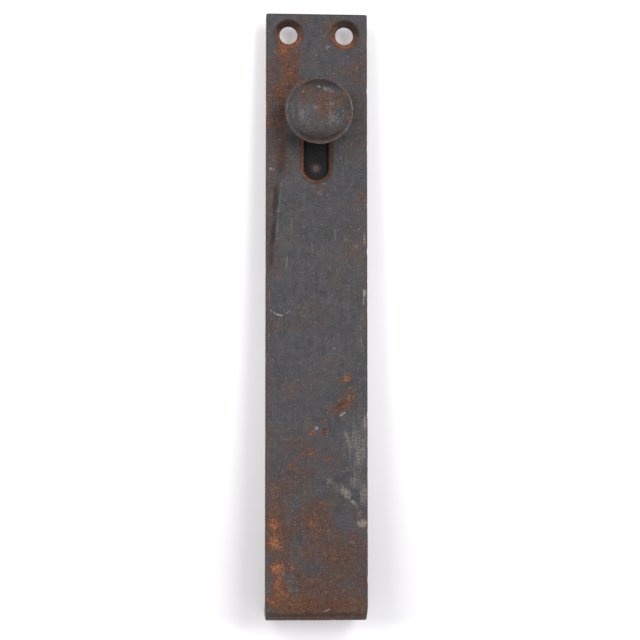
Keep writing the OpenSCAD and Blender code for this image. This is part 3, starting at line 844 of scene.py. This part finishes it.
plate.data.materials.append(old_iron("strap_iron", (0.0532, 0.0515, 0.0545), 0.12,
                                     scratches=plate_scratches))


# ---------------------------------------------------------------- guides
# Two straps of sheet iron bridge the back of the bar and keep it against the plate. Each was
# bent cold over a mandrel, so its corners are round, and is held by a rivet through each foot.

guide_t = 1.5


def arc(centre, radius, start, stop, steps):
    """Points on a circle between two angles in degrees, in the plane of a profile."""
    angles = np.radians(np.linspace(start, stop, steps))
    return np.c_[centre[0] + radius * np.cos(angles), centre[1] + radius * np.sin(angles)]


def line(start, stop, steps):
    """Evenly spaced points from start up to, and without, stop."""
    return np.linspace(start, stop, steps, endpoint=False)


def rounded_rectangle(half_u, half_v, ease, steps, u_steps, v_steps):
    """Points once round a rectangle whose corners are eased by a radius: steps on each corner,
    u_steps on the two sides that run along u and v_steps on the other two."""
    turn = np.linspace(0, math.pi / 2, steps)
    quarter = np.c_[np.cos(turn), np.sin(turn)] * ease
    u, v = half_u - ease, half_v - ease
    along_u, along_v = np.linspace(u, -u, u_steps + 2)[1:-1], np.linspace(v, -v, v_steps + 2)[1:-1]
    return np.concatenate([
        quarter + (u, v), np.c_[along_u, np.full(u_steps, v + ease)],
        quarter[::-1] * (-1, 1) + (-u, v), np.c_[np.full(v_steps, -u - ease), along_v],
        -quarter + (-u, -v), np.c_[-along_u, np.full(u_steps, -v - ease)],
        quarter[::-1] * (1, -1) + (u, -v), np.c_[np.full(v_steps, u + ease), -along_v],
    ])


def swept_strip(path, thick, wide, ease):
    """A strip of constant section carried along a flat path. The section is a rectangle, thick
    along the path's normal and wide across it, with its four edges eased; it shrinks by the
    easing over the last points at both ends and closes there. Returns a grid of points, each
    with the two measures of the path's plane and then the one across it, and its quads."""
    section = rounded_rectangle(thick / 2, wide / 2, ease, 4, 11, 11)
    tangent = np.gradient(path, axis=0)
    tangent /= np.linalg.norm(tangent, axis=1, keepdims=True)
    normal = np.c_[-tangent[:, 1], tangent[:, 0]]
    caps = []
    for at, away in ((0, -1), (-1, 1)):
        for turn in np.radians([90, 60, 30]):
            lost = ease * (1 - math.cos(turn))
            inner = section * (1 - 2 * lost / thick, 1 - 2 * lost / wide)
            caps.append((path[at] + away * tangent[at] * (ease * math.sin(turn)), normal[at], inner))
    rows = caps[:3] + [(p, n, section) for p, n in zip(path, normal)] + caps[:2:-1]
    grid = np.stack([np.c_[place + ring[:, :1] * side, ring[:, 1]] for place, side, ring in rows])
    hub = grid.mean(axis=1, keepdims=True)
    first, last = np.repeat(hub[:1], grid.shape[1], 1), np.repeat(hub[-1:], grid.shape[1], 1)
    grid = np.concatenate([first, grid, last])
    return grid, lattice_faces(len(grid), grid.shape[1], True)


def guide_path(low, high):
    """Middle line of the sheet: out along one foot, up the side of the bar, over its back and
    down to the other foot, with round corners."""
    inside, outside = guide_t / 2 + 0.2, guide_t / 2 + 0.35
    side_x = bar_high.x + bar_gap + guide_t / 2
    roof_y = high.y - guide_t / 2
    foot_x, foot_y = high.x, guide_t / 2
    corners = [
        arc((-side_x - inside, foot_y + inside), inside, 270, 360, 8),
        arc((-side_x + outside, roof_y - outside), outside, 180, 90, 10),
        arc((side_x - outside, roof_y - outside), outside, 90, 0, 10),
        arc((side_x + inside, foot_y + inside), inside, 180, 270, 8),
    ]
    starts = [np.array([-foot_x + 0.25, foot_y])] + [c[-1] for c in corners]
    ends = [c[0] for c in corners] + [np.array([foot_x - 0.25, foot_y])]
    pieces = []
    for k, (a, b) in enumerate(zip(starts, ends)):
        count = max(3, int(np.linalg.norm(b - a) / 0.4))
        pieces.append(line(a, b, count)[1 if k else 0:])
        pieces.append(corners[k] if k < 4 else b[None])
    return np.concatenate(pieces)


guide_iron = old_iron("guide_iron", (0.066, 0.058, 0.056), 0.18, base_rust=0.16, base_brown=0.35)
for name in ("upper_guide", "lower_guide"):
    low, high = (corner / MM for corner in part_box(name))
    grid, quads = swept_strip(guide_path(low, high), guide_t, high.z - low.z, 0.28)
    points, quads = weld([(grid, quads)])
    points = np.c_[points[:, 0], points[:, 1], points[:, 2] + (low.z + high.z) / 2]
    seed = 60 + int(low.z)
    worn_in = 0.05 * (rough_noise(points, 3.0, seed) - 0.5)
    points[:, 2] -= worn_in * np.sign(points[:, 2] - (low.z + high.z) / 2)
    bridge = new_piece(name + "_strap", points, quads, "strap", "guide_iron", name)
    paint(bridge, rust=0.55 * rough_noise(points, 3.5, seed + 1), brown=rough_noise(points, 5.0, seed + 2),
          pale=0.5 * smoothstep(high.y - 0.4, high.y, points[:, 1]) * rough_noise(points, 1.5, seed),
          dark=0.7 * smoothstep(1.2, 0.0, points[:, 1]))
    bridge.data.materials.append(guide_iron)


# ---------------------------------------------------------------- guide rivets
# Soft iron pins closed with a few hammer blows. Their front ends were filed flush with the
# plate and have rusted in, so only the round heads on the guides' feet can be told apart.

rivet_iron = old_iron("rivet_iron", (0.080, 0.072, 0.069), 0.14, base_rust=0.08, base_brown=0.2)


def lathe(profile, centre, steps=72, rough=0.0, seed=0):
    """Turns a profile of (radius, height) points about an axis that points out of the front
    face, towards -Y. Noise moves each point along its radius by up to rough millimetres."""
    angle = np.arange(steps) / steps * 2 * math.pi
    radius, out = profile[:, :1], profile[:, 1:]
    x, z, y = radius * np.cos(angle), radius * np.sin(angle), -out + 0 * angle
    grid = np.stack([x, y, z], axis=-1)
    uneven = rough * (rough_noise(grid, 2.0, seed) - 0.8) if rough else 0.0
    scale = np.where(radius > 0.3, 1 + uneven / np.maximum(radius, 0.3), 1.0)
    grid = grid * np.stack([scale, np.ones_like(scale), scale], axis=-1) + np.array(centre)
    return grid, lattice_faces(len(profile), steps, True)


def button_profile(head_r, head_h, shank_r, shank_in):
    """A hammered round head on a shank, closed at both ends; height 0 is under the head."""
    sweep = np.linspace(0, 1, 14) * math.pi / 2
    dome = np.c_[head_r * np.sin(sweep) ** 0.9, -head_h * np.cos(sweep) ** 0.75]
    dome[:, 1] = np.minimum(dome[:, 1], -0.06)
    rest = np.array([[head_r - 0.05, 0.0], [shank_r, 0.0], [shank_r, shank_in], [0.0, shank_in]])
    return np.concatenate([dome, rest])


for name in ("upper_guide_rivets", "lower_guide_rivets"):
    low, high = (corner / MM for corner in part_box(name))
    head_r = (high.z - low.z) / 2
    head_h = high.y - guide_t
    middle_z = (low.z + high.z) / 2
    profile = button_profile(head_r, head_h - 0.02, 1.2, guide_t + 0.8)
    patches = []
    for side in (-1, 1):
        centre = (side * (high.x - head_r), guide_t, middle_z)
        patches.append(lathe(profile, centre, 48, 0.22, 70 + side + int(low.z)))
    points, quads = weld(patches)
    knock = smoothstep(0.62, 0.8, rough_noise(points, 1.6, 77)) * 0.12
    points[:, 1] -= knock * (points[:, 1] > guide_t + 0.3)
    pins = new_piece(name + "_pins", points, quads, "strap", "rivet_iron", name)
    paint(pins, rust=0.5 * rough_noise(points, 1.5, 71), brown=rough_noise(points, 3.0, 72),
          pale=0.55 * smoothstep(guide_t + 0.5, guide_t + 1.1, points[:, 1]),
          dark=0.8 * smoothstep(guide_t + 0.3, guide_t, points[:, 1]))
    pins.data.materials.append(rivet_iron)


# ---------------------------------------------------------------- bar
# The bolt itself: a length of flat forged iron that slides down through the bent end. Its
# nose is filed to a blunt point, and its face in the slot is painted near black as the shade deep in the
# slot.


def bar_grid():
    """Rounded rectangles stacked along the bar. Near the nose they shrink along a 45 degree
    bevel, and at the tail along a short curve."""
    ease, nose = 0.35, 0.8
    heights = np.concatenate([
        [bar_low.z], bar_low.z + np.array([0, 0.12, 0.3, 0.5, 0.68, 0.8, 0.95, 1.2, 1.6]),
        np.linspace(bar_low.z + 2.0, bar_high.z - 1.0, 330),
        bar_high.z - np.array([0.6, 0.35, 0.2, 0.08, 0.0]), [bar_high.z],
    ])
    half_x, half_y = (bar_high.x - bar_low.x) / 2, (bar_high.y - bar_low.y) / 2
    above, under = heights - bar_low.z, bar_high.z - heights
    inset = np.clip(nose - above, 0, nose) + 0.036 * np.exp(-((above - nose) / 0.25) ** 2)
    inset += np.clip(ease - under, 0, ease) ** 2 / ease
    closed = np.ones_like(heights)
    closed[0], closed[-1] = 0.0, 0.0
    rows = []
    for z, lost, share in zip(heights, inset, closed):
        ring = rounded_rectangle(half_x - lost, half_y - lost, ease, 5, 20, 10) * share
        rows.append(np.c_[ring, np.full(len(ring), z)])
    return np.stack(rows)


grid = bar_grid()
points, quads = weld([(grid, lattice_faces(len(grid), grid.shape[1], True))])
swell = 1 - 0.012 * rough_noise(points, 6.0, 80) - 0.006 * rough_noise(points, 1.6, 81)
points[:, :2] *= swell[:, None]
points[:, 1] += (bar_low.y + bar_high.y) / 2
bar = new_piece("sliding_bar", points, quads, "bolt", "bar_iron", "bolt_bar")
# The face seen in the slot is painted near black: painted shade of the slot.
in_slot = smoothstep(bar_low.y + 0.6, bar_low.y, points[:, 1]) * (points[:, 2] > 90)
paint(bar, rust=0.45 * rough_noise(points, 6.0, 82) * (1 - in_slot) * (points[:, 2] > -1.5),
      brown=0.8 * rough_noise(points, 9.0, 83) * (1 - in_slot),
      pale=0.35 * smoothstep(3.0, -1.5, points[:, 2]) * rough_noise(points, 1.2, 84),
      dark=np.maximum(0.95 * in_slot, 0.35 * rough_noise(points, 14.0, 85)))
bar.data.materials.append(old_iron("bar_iron", (0.050, 0.047, 0.048), 0.16,
                                   grime_and_shade=(0.006, 0.0055, 0.0065), shine=0.2))


# ---------------------------------------------------------------- knob
# A turned iron mushroom knob. Its neck runs in the slot and its tenon goes through the bar,
# where it is riveted over. Its rim is paler, a little from the wear of thumbs and most towards
# its upper right as a painted highlight; inside the rim a crescent is darkened at the top by dirt
# in the groove and at the bottom by painted shade.

rim_h = 9.0                                   # rim above the plate's front face
front_y = -strap_t
knob_r = knob_high.x
dome_h = front_y - rim_h - knob_low.y
bead_r = 0.34
neck_r = 3.0
tenon_r = 2.4
collar_r = 5.1
collar_h = 1.2
washer_low, washer_high = (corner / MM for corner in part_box("knob_washer"))


def knob_profile():
    """From the middle of the dome out over the groove and the rim, in under the head along a
    quarter-round cove, down the neck, the collar and the tenon, and round the riveted end.
    Height is counted out from the plate's front face."""
    ball_r = (knob_r ** 2 + dome_h ** 2) / (2 * dome_h)
    radius = np.concatenate([line(0, knob_r - 1.1, 26), np.linspace(knob_r - 1.1, knob_r - 0.56, 7)])
    dome = rim_h + dome_h - ball_r + np.sqrt(ball_r ** 2 - radius ** 2)
    dome -= 0.02 * np.exp(-((radius - (knob_r - 0.7)) / 0.2) ** 2)
    bead = arc((knob_r - bead_r, rim_h), bead_r, 110, -90, 14)
    cove_r = knob_r - bead_r - neck_r
    cove = arc((knob_r - bead_r, rim_h - bead_r - cove_r), cove_r, 92, 180, 22)
    collar = np.array([
        [neck_r, collar_h + 0.15], [neck_r + 0.1, collar_h + 0.02], [collar_r - 0.2, collar_h],
        [collar_r - 0.05, collar_h - 0.08], [collar_r, collar_h - 0.2], [collar_r, 0.3],
        [collar_r - 0.08, 0.15], [collar_r - 0.2, 0.1], [neck_r + 0.05, 0.1], [neck_r, 0.0],
    ])
    bar_front, washer_back = front_y - bar_low.y, front_y - washer_high.y
    tail = np.array([[neck_r, bar_front], [tenon_r, bar_front], [tenon_r, washer_back]])
    peen_r, peen_h = 3.3, knob_high.y - washer_high.y
    sweep = np.linspace(0, math.pi / 2, 12)
    peen = np.c_[peen_r * np.cos(sweep) ** 0.8,
                 washer_back - 0.04 - (peen_h - 0.05) * np.sin(sweep) ** 0.9]
    peen[-1, 0] = 0.0
    under_peen = [[peen_r - 0.06, washer_back]]
    return np.concatenate([np.c_[radius, dome], bead, cove, collar, tail, under_peen, peen])


grid, quads = lathe(knob_profile(), (0, front_y, knob_z), 144)
points, quads = weld([(grid, quads)])
r = np.hypot(points[:, 0], points[:, 2] - knob_z)
out = front_y - points[:, 1]
angle = np.degrees(np.arctan2(points[:, 2] - knob_z, points[:, 0]))
chip = 0.16 * smoothstep(0.6, 0.85, rough_noise(points, 1.8, 90)) * smoothstep(knob_r - 0.8, knob_r, r)
points[:, 0] *= 1 - chip / knob_r
points[:, 2] = knob_z + (points[:, 2] - knob_z) * (1 - chip / knob_r)
dent = 0.07 * rough_noise(points, 3.2, 91) + 0.05 * smoothstep(0.62, 0.8, rough_noise(points, 1.1, 92))
points[:, 1] += dent * (out > rim_h - 0.2)
knocks = 0.1 * smoothstep(0.55, 0.8, rough_noise(points, 1.4, 93))
points[:, 1] -= knocks * (points[:, 1] > washer_high.y + 0.4)
knob = new_piece("mushroom_knob", points, quads, "bolt", "knob_iron", "knob")

u, v = points[:, 0], points[:, 2] - knob_z
on_dome = smoothstep(rim_h - 0.3, rim_h + 0.1, out)
rim_line = smoothstep(knob_r - 0.45, knob_r - 0.15, r) * smoothstep(rim_h - 0.7, rim_h, out)
rim_highlight_side = towards(angle, 40)
dome_rust = soft_marks(u, v, [
    (0.2, 3.0, 1.2, 1.2, 0.62), (3.0, 3.6, 1.3, 0.9, 0.6), (0.9, -0.6, 0.9, 2.2, 0.6),
    (3.6, 3.8, 1.4, 0.8, 0.5, -20), (4.9, 1.9, 1.2, 0.9, 0.58), (7.3, -2.0, 0.5, 1.7, 0.78, 10),
    (-0.6, -7.6, 2.6, 0.35, 0.75), (6.4, 4.4, 0.4, 1.2, 0.5, 30), (0.9, -3.2, 0.7, 0.7, 0.42),
], 1.3, 94)
# Worn spots on the dome, and painted highlights: the bright speck near the top and the broad light on its
# lower left.
dome_wear_and_highlights = soft_marks(u, v, [
    (2.0, 5.0, 2.0, 0.9, 0.52, -15), (-0.15, 5.7, 0.38, 0.38, 1.9), (-4.1, 4.5, 0.25, 0.25, 1.0),
    (-4.6, -1.0, 3.2, 2.8, 0.28), (-0.9, 0.3, 1.2, 1.0, 0.36), (3.6, -2.2, 2.4, 2.2, 0.34),
    (2.4, 0.8, 1.8, 1.4, 0.24), (-0.6, -4.2, 2.4, 1.2, 0.16), (5.7, -0.3, 0.6, 0.5, 0.5),
    (2.0, -3.6, 0.35, 0.3, 0.8), (-2.6, -4.6, 1.4, 0.16, 0.4, 8), (-7.0, 1.4, 0.25, 0.25, 0.7),
    (2.6, -1.0, 0.3, 0.8, 0.4),
], 0.5, 95)
# Painted shade on the dome: broad dark zones at its top, bottom and lower sides that round it, with a few
# small dirt spots.
dome_shade_and_dirt = soft_marks(u, v, [
    (0.6, 6.6, 4.6, 1.5, 0.62), (-1.0, -6.6, 5.4, 1.5, 0.6), (5.4, -5.0, 2.0, 1.4, 0.5, 40),
    (-5.6, -5.2, 2.0, 1.0, 0.4, -40), (-6.8, 2.6, 0.8, 2.0, 0.3), (-0.4, 5.0, 0.8, 0.5, 0.5),
    (3.0, 1.8, 0.5, 0.4, 0.4), (4.4, -0.4, 0.5, 0.6, 0.4),
], 0.8, 96)
# A crescent inside the rim, darkened at its top by dirt in the groove and at its bottom by painted shade
# where the dome turns down.
crescent = np.exp(-((r - 7.2) / 0.75) ** 2) * on_dome
crescent_dark = np.maximum(smoothstep(0.55, 0.97, np.cos(np.radians(angle - 86))),
                           smoothstep(0.2, 0.95, np.cos(np.radians(angle + 88))))
behind = smoothstep(rim_h - 0.6, rim_h - 1.4, out)
dome_brown = soft_marks(u, v, [
    (1.6, 1.0, 3.0, 5.0, 0.75, 10), (5.0, 2.6, 2.4, 2.6, 0.7), (-3.0, 4.0, 4.5, 3.0, 0.32),
    (-4.5, 0.5, 3.0, 3.5, -0.4), (0.0, -5.6, 4.0, 1.4, 0.4),
], 2.0, 99)
# The rim's rust and paleness rise towards its upper right as a painted highlight, over a little real wear.
rim_rust = rim_line * (0.44 + 0.20 * rim_highlight_side)
rim_wear_and_highlight = rim_line * (0.06 + 0.48 * rim_highlight_side) * (0.5 + 0.5 * rough_noise(points, 1.6, 98))
groove = crescent * crescent_dark
back_rust = 0.4 * behind * rough_noise(points, 3.0, 97)
paint(
    knob, rust=np.maximum.reduce([dome_rust * on_dome, rim_rust, back_rust]),
    brown=0.1 + 0.5 * behind + 0.4 * rim_line + 0.35 * groove + on_dome * dome_brown,
    pale=np.maximum(dome_wear_and_highlights * on_dome, rim_wear_and_highlight),
    dark=np.maximum.reduce([groove * 0.8, dome_shade_and_dirt * on_dome, 0.35 * behind]),
)
knob.data.materials.append(old_iron("knob_iron", (0.057, 0.057, 0.058), 0.10, worn=(0.27, 0.25, 0.25)))


# ---------------------------------------------------------------- knob washer
# A small iron washer between the bar and the riveted end of the knob's tenon, which spreads
# the pull of the rivet. It was punched from sheet, so one edge is rounder than the other.

washer_t = washer_high.y - washer_low.y
washer_profile = np.array([
    [tenon_r, -washer_t], [washer_high.x - 0.2, -washer_t], [washer_high.x - 0.07, -washer_t + 0.07],
    [washer_high.x, -washer_t + 0.2], [washer_high.x, -0.1], [washer_high.x - 0.08, 0.0],
    [tenon_r, 0.0], [tenon_r, -washer_t],
])
points, quads = weld([lathe(washer_profile, (0, washer_low.y, knob_z), 96, 0.12, 100)])
washer = new_piece("tenon_washer", points, quads, "bolt", "guide_iron", "knob_washer")
from_pin = np.hypot(points[:, 0], points[:, 2] - knob_z)
paint(washer, rust=0.6 * rough_noise(points, 1.8, 101), brown=rough_noise(points, 3.0, 102),
      pale=0.3 * rough_noise(points, 1.0, 103), dark=0.5 * smoothstep(3.7, 3.2, from_pin))
washer.data.materials.append(guide_iron)


# ---------------------------------------------------------------- friction spring
# A bowed leaf of blued spring steel riveted to the back of the bar. Its long flat crown rubs
# under the upper guide, so that the bolt stays where it is put.

leaf_low, leaf_high = (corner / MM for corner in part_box("friction_spring"))
leaf_t = 0.5


def leaf_path():
    """Middle line of the leaf in (height, depth): a flat foot, an S-shaped ramp, a long crown
    and a ramp back to the bar, where the tip turns up a little."""
    rise = leaf_high.y - leaf_low.y - leaf_t
    z = np.linspace(leaf_high.z - 0.15, leaf_low.z + 0.15, 110)
    up = smoothstep(leaf_high.z - 6.6, leaf_high.z - 11.6, z)
    down = smoothstep(leaf_low.z + 5.4, leaf_low.z + 0.2, z)
    y = leaf_low.y + leaf_t / 2 + (rise - 0.01) * up * (1 - down) + 0.06 * down
    return np.c_[z, y]


grid, quads = swept_strip(leaf_path(), leaf_t - 0.02, leaf_high.x - leaf_low.x, 0.12)
points, quads = weld([(grid, quads)])
points = points[:, [2, 1, 0]]
leaf = new_piece("leaf_spring", points, quads, "bolt", "spring_steel", "friction_spring")
rubbed = smoothstep(leaf_high.y - 0.12, leaf_high.y - 0.02, points[:, 1])
paint(leaf, rust=0.5 * rough_noise(points, 3.0, 110) * (1 - rubbed),
      brown=0.5 * rough_noise(points, 6.0, 111), pale=0.6 * rubbed * rough_noise(points, 1.4, 112))
leaf.data.materials.append(old_iron("spring_steel", (0.060, 0.066, 0.085), 0.05,
                                    base_rust=-0.05, base_brown=-0.2))


# ---------------------------------------------------------------- spring rivet
# The rivet that holds the leaf. Its front end was hammered flat into a countersink in the
# bar and shows as a small paler disc deep in the slot.

pin_low, pin_high = (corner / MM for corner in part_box("spring_rivet"))
pin_z = (pin_low.z + pin_high.z) / 2
head_r = pin_high.x
pin_front = leaf_low.y + leaf_t - pin_low.y
profile = button_profile(head_r, pin_high.y - leaf_low.y - leaf_t - 0.02, 1.1, 0.3)[:-1]
flat_end = np.array([[1.1, pin_front - 0.5], [1.55, pin_front - 0.06], [1.45, pin_front - 0.015],
                     [1.1, pin_front - 0.003], [0.6, pin_front], [0.0, pin_front]])
profile = np.concatenate([profile, flat_end])
points, quads = weld([lathe(profile, (0, leaf_low.y + leaf_t, pin_z), 48, 0.1, 120)])
pin = new_piece("leaf_rivet", points, quads, "bolt", "rivet_iron", "spring_rivet")
# The front end is painted darker towards its rim, painted shade that leaves only its middle lit as a small
# pale disc.
at_front = smoothstep(pin_low.y + 0.3, pin_low.y, points[:, 1])
paint(pin, rust=0.5 * rough_noise(points, 1.5, 121) * (1 - at_front),
      brown=0.6 * rough_noise(points, 3.0, 122),
      pale=0.5 * smoothstep(pin_high.y - 0.5, pin_high.y, points[:, 1]),
      dark=at_front * smoothstep(0.25, 1.2, np.hypot(points[:, 0], points[:, 2] - pin_z)))
pin.data.materials.append(rivet_iron)
